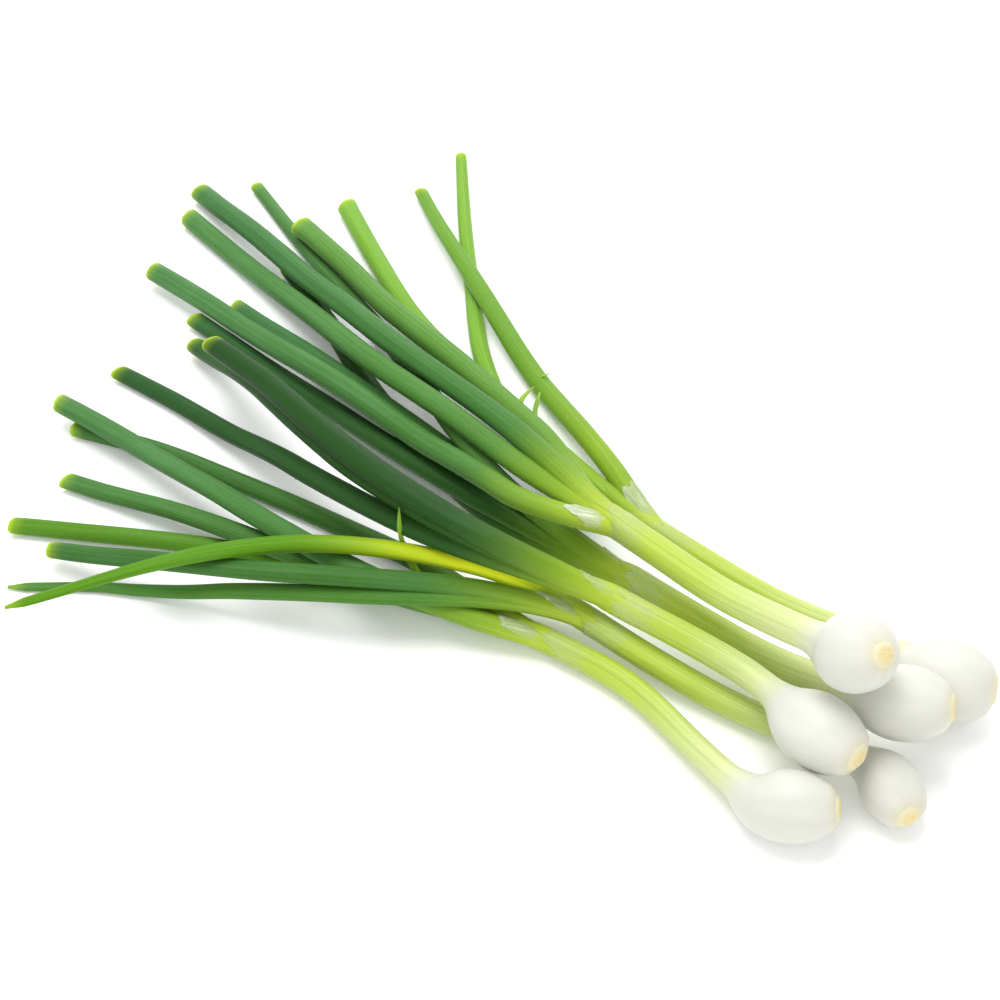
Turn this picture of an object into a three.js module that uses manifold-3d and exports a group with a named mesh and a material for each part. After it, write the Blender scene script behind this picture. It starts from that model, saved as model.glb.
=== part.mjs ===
// Bunch of six spring onions lying loose on a surface, roots trimmed, most leaves cut square.
// Millimetres, +Z up, bulbs towards +X. Each onion is a stem (bulb, neck and the bases of its
// leaves, grown as one piece), a root plate, a papery sheath round the neck, and its leaves.

import * as THREE from 'three';
import { mergeVertices } from 'three/addons/utils/BufferGeometryUtils.js';
import Module from 'manifold-3d';

const wasm = await Module();
wasm.setup();

// Driving dimensions
const SAMPLE = 2; // spacing of the points along every route
const LAYING_GAP = 0.6; // air between two pieces that lie on each other
const JOINT_GAP = 0.3; // air between a piece and the one that it continues
const PARTED_GAP = 0.25; // air between two leaves of one onion once they have parted
const TABLE_CLEARANCE = 0.02; // leaves just off the surface that the bulbs stand on
const LEAF_FLATNESS = 0.8; // height of a leaf's section over its width
const DROOP_RADIUS = 230; // bend of a leaf that hangs free past what carries it
const EASE_SAMPLES = 8; // half width of the window that rounds off the heights
const FORK_LENGTH = 75; // leaves of one onion part from each other within this length
const YOUNG_FORK_LENGTH = 34;
const LEAF_WALL = 0.85;
const HOLLOW_DEPTH = 12; // open end of a cut leaf
const PLATE_THICKNESS = 1.5;
const BULB_TAPER = 2.3; // root to neck length over root to widest length
const SHEATH_LENGTH = 22;
const SHEATH_WALL = 0.75;
const SHEATH_SLANT = 5; // one side of the sheath reaches this much further
const STUB_OVERLAP = 12; // leaf bases start this deep inside the neck
const LEAF_SIDES = 10;
const YOUNG_LEAF_SIDES = 6;
const STEM_SIDES = 14;
const LEAF_RING = 16; // spacing of rings along a leaf
const NECK_RING = 10;
const BULB_RING = 3.4;

const COLOURS = {
  bulb: 0xf2f3ec,
  plate: 0xdcc08a,
  sheath: 0xeef0dc,
  leaf: 0x4f8a3f,
  brightLeaf: 0x8fbf3a,
};

// Onions from the lowest to the topmost. Routes are plan points seen from above. A stem's heights
// are those of its root end, widest part, middle and collar. A leaf's widths are half widths at
// its base, middle and end.
const ONIONS = [
  {
    name: 'f', bulb: 11.8, half: 17, neck: 4.4, plate: 4.2, rests: true,
    route: [[165, -51.5], [149.5, -58.5], [134, -59], [118, -54], [81, -41], [43, -40]],
    heights: [15, 11.3, 5.8, 5.5],
    leaves: [
      {
        name: 'leaf_4', width: [3.6, 3.5, 3.4],
        route: [[15, -46], [-17, -53], [-50, -60], [-81, -72], [-111, -87], [-140, -102]],
      },
      {
        name: 'leaf_3', width: [3.8, 3.9, 3.4],
        route: [[23, -45], [-17, -56], [-58, -62], [-99, -67], [-140, -74]],
      },
      {
        name: 'leaf_2', width: [3.8, 3.9, 3.4],
        route: [[19, -39], [-16, -35], [-52, -36], [-87, -39], [-122, -43], [-156, -52]],
      },
      {
        name: 'leaf_1', width: [4.0, 4.2, 3.8],
        route: [[19, -51], [-17, -58], [-54, -58], [-91, -54], [-128, -50], [-165, -49]],
      },
    ],
  },
  {
    name: 'c', bulb: 12.4, half: 17, neck: 5.2, plate: 4.4, rests: false,
    route: [[179, -6], [162, -12], [136, -12.5], [100, -8], [54, -1.5]],
    heights: [28, 25, 10.5, 6.6],
    leaves: [
      {
        name: 'leaf_4', width: [3.8, 4.2, 3.6],
        route: [[29, -5], [-9, 0], [-46, 13], [-81, 29], [-114, 48], [-149, 66]],
      },
      {
        name: 'leaf_1', width: [4.0, 4.2, 3.6],
        route: [[35, -1], [-5, -2], [-44, 2], [-82, 10], [-121, 15], [-160, 21]],
      },
      {
        name: 'leaf_2', width: [3.8, 4.2, 4.0],
        route: [[34, 0], [-4, 7], [-41, 13], [-78, 20], [-115, 29], [-152, 35]],
      },
      {
        name: 'leaf_3', width: [3.6, 3.8, 2.6],
        route: [[35, -2], [-15, 9], [-59, 33], [-102, 59], [-149, 79], [-194, 101]],
      },
    ],
  },
  {
    name: 'b', bulb: 14.6, half: 18, neck: 4.2, plate: 4.4, rests: true,
    route: [[182.5, 20.5], [167, 13], [133, 17.5], [99, 18], [45, 25]],
    heights: [15, 14, 7, 5.4],
    leaves: [
      {
        name: 'leaf_3', width: [3.2, 3.4, 2.3],
        route: [[24, 28], [-18, 40], [-53, 65], [-82, 98], [-110, 132], [-137, 167]],
      },
      {
        name: 'leaf_2', width: [3.6, 4.0, 4.0],
        route: [[20, 34], [-18, 41], [-55, 54], [-90, 70], [-123, 90], [-156, 112]],
      },
      {
        name: 'leaf_1', width: [4.2, 4.0, 2.6],
        route: [[26, 37], [-7, 55], [-41, 73], [-74, 93], [-106, 114], [-136, 137]],
      },
      {
        name: 'young_leaf', width: [1.6, 1.4, 0.7], young: true,
        route: [[30, 27], [6, 32], [-12, 40], [-20, 54]],
      },
    ],
  },
  {
    name: 'e', bulb: 10.2, half: 14.5, neck: 4.6, plate: 3.9, rests: true,
    route: [[183, -41], [170, -31], [154, -27], [112, -29], [80, -29], [50, -27.5]],
    heights: [10.4, 9.7, 5.2, 10.3],
    leaves: [
      {
        name: 'leaf_3', width: [3.0, 3.2, 0.9], pointed: true,
        route: [[32, -45], [2, -62], [-29, -77], [-61, -90], [-92, -104], [-121, -123]],
      },
      {
        name: 'leaf_2', width: [3.9, 3.8, 3.4],
        route: [[29, -41], [-6, -62], [-41, -80], [-79, -94], [-117, -105]],
      },
      {
        name: 'leaf_1', width: [3.4, 3.4, 0.9], pointed: true, bright: true,
        route: [[29, -30], [-3, -44], [-33, -62], [-58, -86], [-81, -113], [-104, -139]],
      },
    ],
  },
  {
    name: 'd', bulb: 12.4, half: 18, neck: 4.8, plate: 4.4, rests: false,
    route: [[164, -40], [144, -36], [112, -24], [58, -23]],
    heights: [26, 24.4, 17.5, 20],
    leaves: [
      {
        name: 'leaf_3', width: [3.6, 4.2, 3.4],
        route: [[25, -36], [-13, -39], [-51, -35], [-88, -26], [-126, -20], [-164, -19]],
      },
      {
        name: 'leaf_2', width: [4.0, 4.4, 3.6],
        route: [[42, -36], [2, -36], [-36, -32], [-74, -20], [-110, -5], [-148, 8]],
      },
      {
        name: 'leaf_1', width: [4.4, 5.0, 4.0],
        route: [[41, -36], [7, -38], [-27, -35], [-60, -27], [-92, -16], [-125, -7]],
      },
    ],
  },
  {
    name: 'a', bulb: 13, half: 13, neck: 5.2, plate: 4.2, rests: false,
    route: [[160.5, -25.5], [149, -22], [129, -17], [90, -7.5], [40, 4]],
    heights: [59, 46.8, 29, 25],
    leaves: [
      {
        name: 'leaf_2', width: [4.2, 4.8, 4.4],
        route: [[7, 27], [-26, 39], [-59, 50], [-92, 61], [-124, 74], [-158, 85]],
      },
      {
        name: 'leaf_3', width: [4.2, 4.6, 4.2],
        route: [[12, 7], [-32, 16], [-75, 26], [-117, 42], [-160, 56], [-203, 68]],
      },
      {
        name: 'leaf_4', width: [4.2, 4.6, 4.2],
        route: [[21, -6], [-21, 1], [-63, 10], [-105, 17], [-147, 25], [-190, 31]],
      },
      {
        name: 'leaf_1', width: [4.6, 4.8, 4.4],
        route: [[6, 16], [-37, 29], [-81, 40], [-123, 55], [-166, 69], [-209, 83]],
      },
    ],
  },
];

const ease = (t) => {
  const k = Math.min(1, Math.max(0, t));
  return k * k * (3 - 2 * k);
};

// Routes

function samplePlan(points) {
  const curve = new THREE.CatmullRomCurve3(
    points.map(([x, y]) => new THREE.Vector3(x, y, 0)), false, 'centripetal',
  );
  curve.arcLengthDivisions = 400;
  const count = Math.round(curve.getLength() / SAMPLE);
  return curve.getSpacedPoints(count);
}

function stemRadius(onion, s) {
  const length = onion.half * BULB_TAPER;
  if (s >= length) return onion.neck;
  if (s < onion.half) {
    return onion.bulb * Math.sqrt(1 - ((onion.half - s) / (onion.half * 1.04)) ** 2);
  }
  const share = (s - onion.half) / (length - onion.half);
  return onion.neck + (onion.bulb - onion.neck) * (0.5 + 0.5 * Math.cos(Math.PI * share));
}

function makeStemStrand(onion) {
  const plan = samplePlan(onion.route);
  const length = (plan.length - 1) * SAMPLE;
  const marks = [0, onion.half, length * 0.55, length];
  const raw = plan.map((_, i) => {
    const s = i * SAMPLE;
    const k = Math.min(2, marks.filter((mark) => mark <= s).length - 1);
    const share = Math.min(1, (s - marks[k]) / (marks[k + 1] - marks[k]));
    return onion.heights[k] + (onion.heights[k + 1] - onion.heights[k]) * share;
  });
  const sheathStart = length - SHEATH_LENGTH - SHEATH_SLANT;
  const width = plan.map((_, i) => {
    const s = i * SAMPLE;
    const skin = s > sheathStart ? SHEATH_WALL + JOINT_GAP : 0;
    return stemRadius(onion, s) + skin;
  });
  return { onion, isStem: true, plan, length, width, height: width, z: averaged(raw, 6, true) };
}

function makeLeafStrand(onion, leaf, collar) {
  const plan = samplePlan([[collar.x, collar.y], ...leaf.route]);
  const last = plan.length - 1;
  const [base, middle, end] = leaf.width;
  const width = plan.map((_, i) => {
    const t = i / last;
    if (t < 0.5) return base + (middle - base) * t * 2;
    const share = (t - 0.5) * 2;
    return middle + (end - middle) * (leaf.pointed ? share ** 1.6 : share);
  });
  return {
    onion, leaf, plan, width, length: last * SAMPLE, height: width.map((w) => w * LEAF_FLATNESS),
  };
}

// Heights: each piece lies on the surface and on the pieces laid before it

function averaged(values, reach, keepEnds) {
  const last = values.length - 1;
  return values.map((_, i) => {
    const span = keepEnds ? Math.min(reach, i, last - i) : reach;
    let sum = 0;
    for (let k = -span; k <= span; k++) sum += values[Math.min(last, Math.max(0, i + k))];
    return sum / (2 * span + 1);
  });
}

function lowestHeight(strand, i, laid) {
  let lowest = strand.height[i] + TABLE_CLEARANCE;
  const here = strand.plan[i];
  const fork = strand.leaf?.young ? YOUNG_FORK_LENGTH : FORK_LENGTH;
  for (const other of laid) {
    const kin = other.onion === strand.onion;
    if (kin && other.isStem) continue;
    for (let j = 0; j < other.plan.length; j++) {
      const there = other.plan[j];
      const reach = strand.width[i] + other.width[j] + LAYING_GAP;
      const offset = ((there.x - here.x) ** 2 + (there.y - here.y) ** 2) / (reach * reach);
      if (offset >= 1) continue;
      const parted = kin ? Math.min(1, (Math.min(i, j) * SAMPLE) / fork) : 1;
      const stacked = (strand.height[i] + other.height[j] + LAYING_GAP) * Math.sqrt(1 - offset);
      lowest = Math.max(lowest, other.z[j] + stacked * parted);
    }
  }
  return lowest;
}

// A free stretch sags from each point that carries it as a parabola of the droop radius
function layLeaf(strand, collarHeight, laid) {
  const carried = strand.plan.map((_, i) => lowestHeight(strand, i, laid));
  const hung = carried.map((_, i) => Math.max(
    ...carried.map((height, j) => height - ((i - j) * SAMPLE) ** 2 / (2 * DROOP_RADIUS)),
  ));
  strand.z = averaged(hung, EASE_SAMPLES, false).map((height, i) => {
    const share = ease((i * SAMPLE) / 30);
    return collarHeight * (1 - share) + height * share;
  });
}

// First sample past which a leaf stays clear of the other leaves of its onion
function partingSample(strand, siblings) {
  let parting = 6;
  for (const other of siblings) {
    for (let i = strand.plan.length - 8; i > parting; i--) {
      const touches = other.plan.some((there, j) => {
        const here = strand.plan[i];
        const reach = strand.width[i] + other.width[j] + PARTED_GAP;
        const rise = strand.height[i] + other.height[j] + PARTED_GAP;
        const flat = ((there.x - here.x) ** 2 + (there.y - here.y) ** 2) / (reach * reach);
        return flat + ((strand.z[i] - other.z[j]) / rise) ** 2 < 1;
      });
      if (touches) {
        parting = i + 1;
        break;
      }
    }
  }
  return parting;
}

// Solids

function along(strand, s) {
  const at = Math.min(strand.plan.length - 1.001, Math.max(0, s / SAMPLE));
  const i = Math.floor(at);
  const f = at - i;
  const mix = (values) => values[i] * (1 - f) + values[i + 1] * f;
  const point = strand.plan[i].clone().lerp(strand.plan[i + 1], f);
  point.z = mix(strand.z);
  return { point, width: mix(strand.width), height: mix(strand.height) };
}

function frameAt(strand, s) {
  const here = along(strand, s);
  const reach = 4;
  const back = along(strand, Math.max(0, s - reach)).point;
  const ahead = along(strand, Math.min(strand.length, s + reach)).point;
  const tangent = ahead.sub(back).normalize();
  const side = new THREE.Vector3().crossVectors(tangent, new THREE.Vector3(0, 0, 1)).normalize();
  const up = new THREE.Vector3().crossVectors(side, tangent);
  return { ...here, tangent, side, up };
}

// Revolves a profile of [radius, distance] and bends it along the strand. scaled profiles give
// the radius as a share of the strand's own section.
function bentLathe(strand, profile, sides, { scaled = false, slant = () => 0 } = {}) {
  const points = profile.map(([radius, distance]) => new THREE.Vector2(radius, distance));
  const lathe = new THREE.LatheGeometry(points, sides);
  const position = lathe.attributes.position;
  for (let i = 0; i < position.count; i++) {
    const x = position.getX(i);
    const z = position.getZ(i);
    const s = position.getY(i) + slant(x, z, position.getY(i));
    const frame = frameAt(strand, s);
    const wide = scaled ? frame.width : 1;
    const high = scaled ? frame.height : 1;
    const bent = frame.point
      .addScaledVector(frame.side, x * wide)
      .addScaledVector(frame.up, z * high);
    position.setXYZ(i, bent.x, bent.y, bent.z);
  }
  return closed(lathe);
}

// Merges shared vertices, drops the flat triangles at the axis and points all faces outwards
function closed(geometry) {
  geometry.deleteAttribute('normal');
  geometry.deleteAttribute('uv');
  const merged = mergeVertices(geometry, 1e-4);
  const source = merged.index.array;
  const position = merged.attributes.position;
  const index = [];
  for (let i = 0; i < source.length; i += 3) {
    const [a, b, c] = [source[i], source[i + 1], source[i + 2]];
    if (a !== b && b !== c && c !== a) index.push(a, b, c);
  }
  let volume = 0;
  const corners = [new THREE.Vector3(), new THREE.Vector3(), new THREE.Vector3()];
  for (let i = 0; i < index.length; i += 3) {
    corners.forEach((corner, k) => corner.fromBufferAttribute(position, index[i + k]));
    volume += corners[0].dot(corners[1].cross(corners[2]));
  }
  if (volume < 0) index.reverse();
  merged.setIndex(index);
  return merged;
}

function toSolid(geometry) {
  return new wasm.Manifold(new wasm.Mesh({
    numProp: 3,
    vertProperties: new Float32Array(geometry.attributes.position.array),
    triVerts: new Uint32Array(geometry.index.array),
  }));
}

function toGeometry(solid) {
  const mesh = solid.getMesh();
  const geometry = new THREE.BufferGeometry();
  geometry.setAttribute('position', new THREE.BufferAttribute(mesh.vertProperties, 3));
  geometry.setIndex(new THREE.BufferAttribute(mesh.triVerts, 1));
  return geometry;
}

function rings(from, to, spacing) {
  const count = Math.max(1, Math.round((to - from) / spacing));
  return Array.from({ length: count + 1 }, (_, i) => from + ((to - from) * i) / count);
}

// Bulb and neck with the bases of the leaves, and a flat spot where the bulb rests
function stemGeometry(onion, stem, leafStrands) {
  const start = PLATE_THICKNESS + JOINT_GAP;
  const neckStart = onion.half * BULB_TAPER;
  const stops = [
    ...rings(start + 1.2, neckStart, BULB_RING),
    ...rings(neckStart, stem.length, NECK_RING).slice(1),
  ];
  const profile = [
    [0, start],
    [onion.plate, start],
    ...stops.map((s) => [stemRadius(onion, s), s]),
    [0, stem.length],
  ];
  let solid = toSolid(bentLathe(stem, profile, STEM_SIDES));
  for (const strand of leafStrands) {
    solid = solid.add(toSolid(leafBase(onion, stem, strand)));
  }
  if (onion.rests) {
    const { point } = along(stem, onion.half);
    const depth = 8;
    const table = new THREE.BoxGeometry(60, 60, depth);
    table.translate(point.x, point.y, -depth / 2);
    solid = solid.subtract(toSolid(closed(table)));
  }
  return toGeometry(solid);
}

function leafBase(onion, stem, strand) {
  const inside = Math.round(STUB_OVERLAP / SAMPLE);
  const rooted = {
    plan: [...stem.plan.slice(-inside - 1, -1), ...strand.plan],
    z: [...stem.z.slice(-inside - 1, -1), ...strand.z],
  };
  const thin = onion.neck * 0.72;
  const grow = (values, flatness) => [
    ...Array(inside).fill(thin),
    ...values.map((value, i) => {
      const share = ease((i * SAMPLE) / 24);
      return thin * flatness * (1 - share) + value * share;
    }),
  ];
  rooted.width = grow(strand.width, 1);
  rooted.height = grow(strand.height, 1);
  rooted.length = (rooted.plan.length - 1) * SAMPLE;
  const end = STUB_OVERLAP + strand.parting * SAMPLE - JOINT_GAP;
  const profile = [[0, 0], ...rings(0, end, 9).map((s) => [1, s]), [0, end]];
  return bentLathe(rooted, profile, LEAF_SIDES, { scaled: true });
}

function rootPlateGeometry(onion, stem) {
  const profile = [
    [0, 0],
    [onion.plate * 0.75, 0],
    [onion.plate, 0.7],
    [onion.plate, PLATE_THICKNESS],
    [0, PLATE_THICKNESS],
  ];
  return bentLathe(stem, profile, STEM_SIDES);
}

// Thin sleeve round the top of the neck, reaching further on one side
function sheathGeometry(onion, stem) {
  const inner = onion.neck + JOINT_GAP;
  const outer = inner + SHEATH_WALL;
  const end = stem.length - SHEATH_SLANT;
  const start = end - SHEATH_LENGTH;
  const stops = rings(start, end, 7);
  const profile = [
    ...stops.map((s) => [outer, s]),
    ...stops.reverse().map((s) => [inner, s]),
    [outer, start],
  ];
  const slant = (x, z, s) => (SHEATH_SLANT * x * (s - start)) / (outer * SHEATH_LENGTH);
  return bentLathe(stem, profile, STEM_SIDES, { slant });
}

function leafGeometry(strand) {
  const start = strand.parting * SAMPLE;
  const end = strand.length;
  const outside = rings(start, end, LEAF_RING).map((s) => [1, s]);
  const isSolid = strand.leaf.pointed || strand.leaf.young;
  const inner = 1 - LEAF_WALL / along(strand, end).width;
  const hollow = [
    [inner, end],
    [inner, end - HOLLOW_DEPTH],
    [0, end - HOLLOW_DEPTH - 2],
  ];
  const profile = [[0, start], ...outside, ...(isSolid ? [[0, end]] : hollow)];
  const sides = strand.leaf.young ? YOUNG_LEAF_SIDES : LEAF_SIDES;
  return bentLathe(strand, profile, sides, { scaled: true });
}

// Assembly

function named(name, geometry, color, roughness) {
  geometry.computeVertexNormals();
  const material = new THREE.MeshStandardMaterial({ color, roughness, metalness: 0 });
  const mesh = new THREE.Mesh(geometry, material);
  mesh.name = name;
  return mesh;
}

const bunch = new THREE.Group();
const laid = [];

for (const onion of ONIONS) {
  const stem = makeStemStrand(onion);
  laid.push(stem);
  const collar = stem.plan[stem.plan.length - 1];
  const collarHeight = stem.z[stem.z.length - 1];
  const leafStrands = onion.leaves.map((leaf) => {
    const strand = makeLeafStrand(onion, leaf, collar);
    layLeaf(strand, collarHeight, laid);
    laid.push(strand);
    return strand;
  });
  for (const strand of leafStrands) {
    strand.parting = partingSample(strand, leafStrands.filter((other) => other !== strand));
  }

  const prefix = `onion_${onion.name}`;
  bunch.add(
    named(`${prefix}_stem`, stemGeometry(onion, stem, leafStrands), COLOURS.bulb, 0.35),
    named(`${prefix}_root_plate`, rootPlateGeometry(onion, stem), COLOURS.plate, 0.8),
    named(`${prefix}_sheath`, sheathGeometry(onion, stem), COLOURS.sheath, 0.5),
  );
  for (const strand of leafStrands) {
    const color = strand.leaf.bright ? COLOURS.brightLeaf : COLOURS.leaf;
    bunch.add(named(`${prefix}_${strand.leaf.name}`, leafGeometry(strand), color, 0.45));
  }
}

// The origin is under the middle of the bunch
const box = new THREE.Box3().setFromObject(bunch);
const middle = box.getCenter(new THREE.Vector3());
bunch.position.set(-middle.x, -middle.y, 0);

export default bunch;
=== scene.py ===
"""A loose bunch of trimmed spring onions, dressed over its CAD frame."""

import math
import random

import bmesh
import bpy
import numpy as np
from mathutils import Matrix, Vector, noise


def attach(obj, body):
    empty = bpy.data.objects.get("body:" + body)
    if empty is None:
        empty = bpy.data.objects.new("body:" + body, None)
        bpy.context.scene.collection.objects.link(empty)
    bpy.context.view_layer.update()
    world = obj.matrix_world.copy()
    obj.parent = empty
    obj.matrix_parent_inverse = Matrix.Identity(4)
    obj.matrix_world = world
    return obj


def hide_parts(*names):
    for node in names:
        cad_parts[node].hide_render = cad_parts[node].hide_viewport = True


bl_info = {
    "name": "Spring Onion Bunch",
    "version": (1, 0, 0),
    "blender": (4, 5, 0),
    "location": "View3D > Sidebar > Onions",
    "description": "Builds the bulbs, leaves, sheaths and root plates of a bunch of spring onions",
    "category": "Add Mesh",
}

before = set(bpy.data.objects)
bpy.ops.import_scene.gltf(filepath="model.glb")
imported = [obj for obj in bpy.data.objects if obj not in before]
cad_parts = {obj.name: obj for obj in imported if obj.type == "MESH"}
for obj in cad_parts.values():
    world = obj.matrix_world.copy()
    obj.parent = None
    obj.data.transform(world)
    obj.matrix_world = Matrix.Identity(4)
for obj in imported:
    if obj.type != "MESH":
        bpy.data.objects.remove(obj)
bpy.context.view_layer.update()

MM = 0.001
UP = Vector((0, 0, 1))
PREFIX = "onion_"
MEASURED = {}  # onions by name, filled when they are first asked for
ONIONS = sorted({name.split("_")[1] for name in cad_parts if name.startswith(PREFIX)})

# Shares of painted pile shade, pale and bright in the green of each leaf: the first darkens leaves
# that lie in the shade of the pile
LEAF_KINDS = {
    "a_leaf_1": (0.05, 0.00, 0.05), "a_leaf_2": (0.00, 0.30, 0.05), "a_leaf_3": (0.00, 0.08, 0.05),
    "a_leaf_4": (0.00, 0.05, 0.00), "b_leaf_1": (0.00, 0.70, 0.15), "b_leaf_2": (0.00, 0.75, 0.05),
    "b_leaf_3": (0.00, 0.85, 0.10), "b_young_leaf": (0.00, 0.60, 0.40),
    "c_leaf_1": (0.45, 0.00, 0.00), "c_leaf_2": (0.25, 0.00, 0.00), "c_leaf_3": (0.00, 0.15, 0.00),
    "c_leaf_4": (0.60, 0.00, 0.10), "d_leaf_1": (0.90, 0.00, 0.00), "d_leaf_2": (0.75, 0.00, 0.05),
    "d_leaf_3": (0.70, 0.00, 0.00), "e_leaf_1": (0.00, 0.05, 0.95), "e_leaf_2": (0.35, 0.00, 0.15),
    "e_leaf_3": (0.15, 0.00, 0.35), "f_leaf_1": (0.05, 0.05, 0.00), "f_leaf_2": (0.20, 0.00, 0.20),
    "f_leaf_3": (0.00, 0.08, 0.10), "f_leaf_4": (0.00, 0.25, 0.75),
}
PALE_SHARE = 0.82  # pale and bright together, above which a leaf takes the pale slot
POINTED_LEAVES = ("e_leaf_1", "e_leaf_3", "b_young_leaf")


# Sizes and colours that a user may change


def metres(name, description, value):
    return bpy.props.FloatProperty(
        name=name, description=description, default=value, unit="LENGTH"
    )


def degrees(name, description, value):
    return bpy.props.FloatProperty(
        name=name, description=description, default=math.radians(value), subtype="ANGLE"
    )


def colour(name, description, value):
    return bpy.props.FloatVectorProperty(
        name=name, description=description, subtype="COLOR", size=4,
        default=(*value, 1), min=0, max=1,
    )


class OnionSizes(bpy.types.PropertyGroup):
    leaf_sides: bpy.props.IntProperty(
        name="Leaf sides", description="Points round a leaf", default=28, min=12
    )
    ring_step: metres("Ring step", "Distance between rings along a leaf", 2.2 * MM)
    wall: metres("Leaf wall", "Thickness of a leaf at its cut end", 0.75 * MM)
    hollow: metres("Hollow depth", "How deep a cut leaf stands open", 11 * MM)
    sheath_wall: metres("Sheath wall", "Thickness of the papery sheath", 0.35 * MM)


class OnionColours(bpy.types.PropertyGroup):
    root_end: colour("Root end", "Yellowish skin round the root plate", (0.75, 0.70, 0.47))
    bulb: colour("Bulb", "White skin of the bulb", (0.73, 0.73, 0.665))
    bulb_shade: colour("Bulb veins", "Faint veins in the bulb's skin", (0.66, 0.70, 0.46))
    neck_low: colour("Lower neck", "Neck just above the bulb", (0.70, 0.77, 0.37))
    neck: colour("Neck", "Yellow-green neck", (0.51, 0.64, 0.085))
    neck_line: colour("Neck lines", "Fine green lines in the neck", (0.19, 0.37, 0.02))
    collar: colour("Collar", "Top of the neck", (0.45, 0.58, 0.040))
    fork: colour("Fork", "Where the leaves part", (0.20, 0.36, 0.018))
    leaf: colour("Leaf", "Middle of a leaf", (0.062, 0.195, 0.038))
    leaf_end: colour("Leaf end", "Blue-green towards the tip", (0.064, 0.192, 0.062))
    # Painted shade: a near-black green for leaves that lie in the shade of the pile
    pile_shade: colour("Dark leaf", "Shaded leaves in the pile", (0.016, 0.066, 0.012))
    pale: colour("Pale leaf", "Lighter leaves", (0.24, 0.47, 0.040))
    bright: colour("Bright leaf", "Yellow-green leaves", (0.105, 0.28, 0.004))
    # Partly real, partly painted light: the bright leaves' yellow base, raised in brightness to
    # make up for the shadow of the leaves above it
    yellow: colour("Yellow leaf base", "Base of the bright leaves", (0.86, 0.94, 0.02))
    bloom: colour("Bloom", "Waxy bloom on the leaves", (0.15, 0.32, 0.17))
    rim: colour("Cut rim", "Fresh cut edge of a leaf", (0.46, 0.66, 0.03))
    inside: colour("Leaf inside", "Inner wall of a leaf", (0.12, 0.24, 0.03))
    plate: colour("Root plate", "Trimmed root plate", (0.80, 0.69, 0.38))
    plate_dark: colour("Root scars", "Scars of the cut roots", (0.72, 0.56, 0.25))
    sheath: colour("Sheath", "Papery skin", (0.80, 0.84, 0.70))
    floor: colour("Floor", "Pale floor", (0.93, 0.93, 0.93))


class StageSettings(bpy.types.PropertyGroup):
    azimuth: degrees("Azimuth", "Camera direction round the bunch", 35)
    elevation: degrees("Elevation", "Camera height above the horizon", 45)
    distance: metres("Distance", "Camera to the middle of the view", 0.8)
    lens: bpy.props.FloatProperty(
        name="Lens", description="Focal length for a 36 mm wide sensor, in millimetres",
        default=82.08,
    )
    target: bpy.props.FloatVectorProperty(
        name="Target", description="Middle of the view",
        default=(12.72 * MM, -14.37 * MM, 12 * MM), subtype="XYZ",
    )


def sizes():
    return bpy.context.scene.onion_sizes


def colours():
    return bpy.context.scene.onion_colours


# Shader maths


class Field:
    """A socket in a material whose arithmetic adds Math nodes."""

    def __init__(self, shader, socket):
        self.shader = shader
        self.socket = socket

    def math(self, operation, *values):
        node = self.shader.add(
            "ShaderNodeMath", {"operation": operation}, dict(enumerate(values))
        )
        return node[0]

    def __add__(self, other):
        return self.math("ADD", self, other)

    def __sub__(self, other):
        return self.math("SUBTRACT", self, other)

    def __rsub__(self, other):
        return self.math("SUBTRACT", other, self)

    def __mul__(self, other):
        return self.math("MULTIPLY", self, other)

    __radd__ = __add__
    __rmul__ = __mul__

    def clamp(self):
        """Kept just inside 0 to 1."""
        return self.math("MINIMUM", self.math("MAXIMUM", self, 0.02), 0.98)


class Made:
    """A node that was added, whose outputs come as fields."""

    def __init__(self, shader, node):
        self.shader = shader
        self.node = node

    def __getitem__(self, key):
        return Field(self.shader, self.node.outputs[key])


class Shader:
    """One Principled material and the nodes that feed it."""

    def __init__(self, name, **constants):
        self.material = bpy.data.materials.new(name)
        self.material.use_nodes = True
        self.tree = self.material.node_tree
        self.surface = self.tree.nodes["Principled BSDF"]
        for key, value in constants.items():
            self.surface.inputs[key.replace("_", " ")].default_value = value

    def add(self, kind, settings=None, values=None):
        node = self.tree.nodes.new(kind)
        for key, value in (settings or {}).items():
            if key == "stops":
                self.set_stops(node.color_ramp, value)
            else:
                setattr(node, key, value)
        for key, value in (values or {}).items():
            self.feed(node.inputs[key], value)
        return Made(self, node)

    def set_stops(self, ramp, stops):
        while len(ramp.elements) < len(stops):
            ramp.elements.new(1.0)
        for element, (place, value) in zip(ramp.elements, stops):
            element.position = place
            element.color = tuple(value)[:3] + (1,)

    def feed(self, socket, value):
        if isinstance(value, Field):
            self.tree.links.new(value.socket, socket)
        else:
            socket.default_value = value

    def attribute(self, name, output="Fac"):
        return self.add("ShaderNodeAttribute", {"attribute_name": name})[output]

    def stretch(self, vector, scale):
        made = self.add(
            "ShaderNodeVectorMath", {"operation": "MULTIPLY"}, {0: vector, 1: scale}
        )
        return made["Vector"]

    def noise(self, vector, scale, detail=3.0, roughness=0.55):
        values = {"Vector": vector, "Scale": scale, "Detail": detail, "Roughness": roughness}
        return self.add("ShaderNodeTexNoise", {}, values)["Fac"]

    def remap(self, value, low, high):
        values = {"Value": value, "From Min": low, "From Max": high}
        return self.add("ShaderNodeMapRange", {"interpolation_type": "SMOOTHSTEP"}, values)[0]

    def ramp(self, value, stops):
        return self.add("ShaderNodeValToRGB", {"stops": stops}, {"Fac": value})["Color"]

    def mix(self, share, low, high):
        settings = {"data_type": "RGBA"}
        node = self.add("ShaderNodeMix", settings, {0: share, 6: low, 7: high})
        return node[2]

    def bump(self, height, strength, distance):
        values = {"Height": height, "Strength": strength, "Distance": distance}
        return self.add("ShaderNodeBump", {}, values)["Normal"]

    def finish(self, **varying):
        for key, value in varying.items():
            self.feed(self.surface.inputs[key.replace("_", " ")], value)
        return self.material


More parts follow.
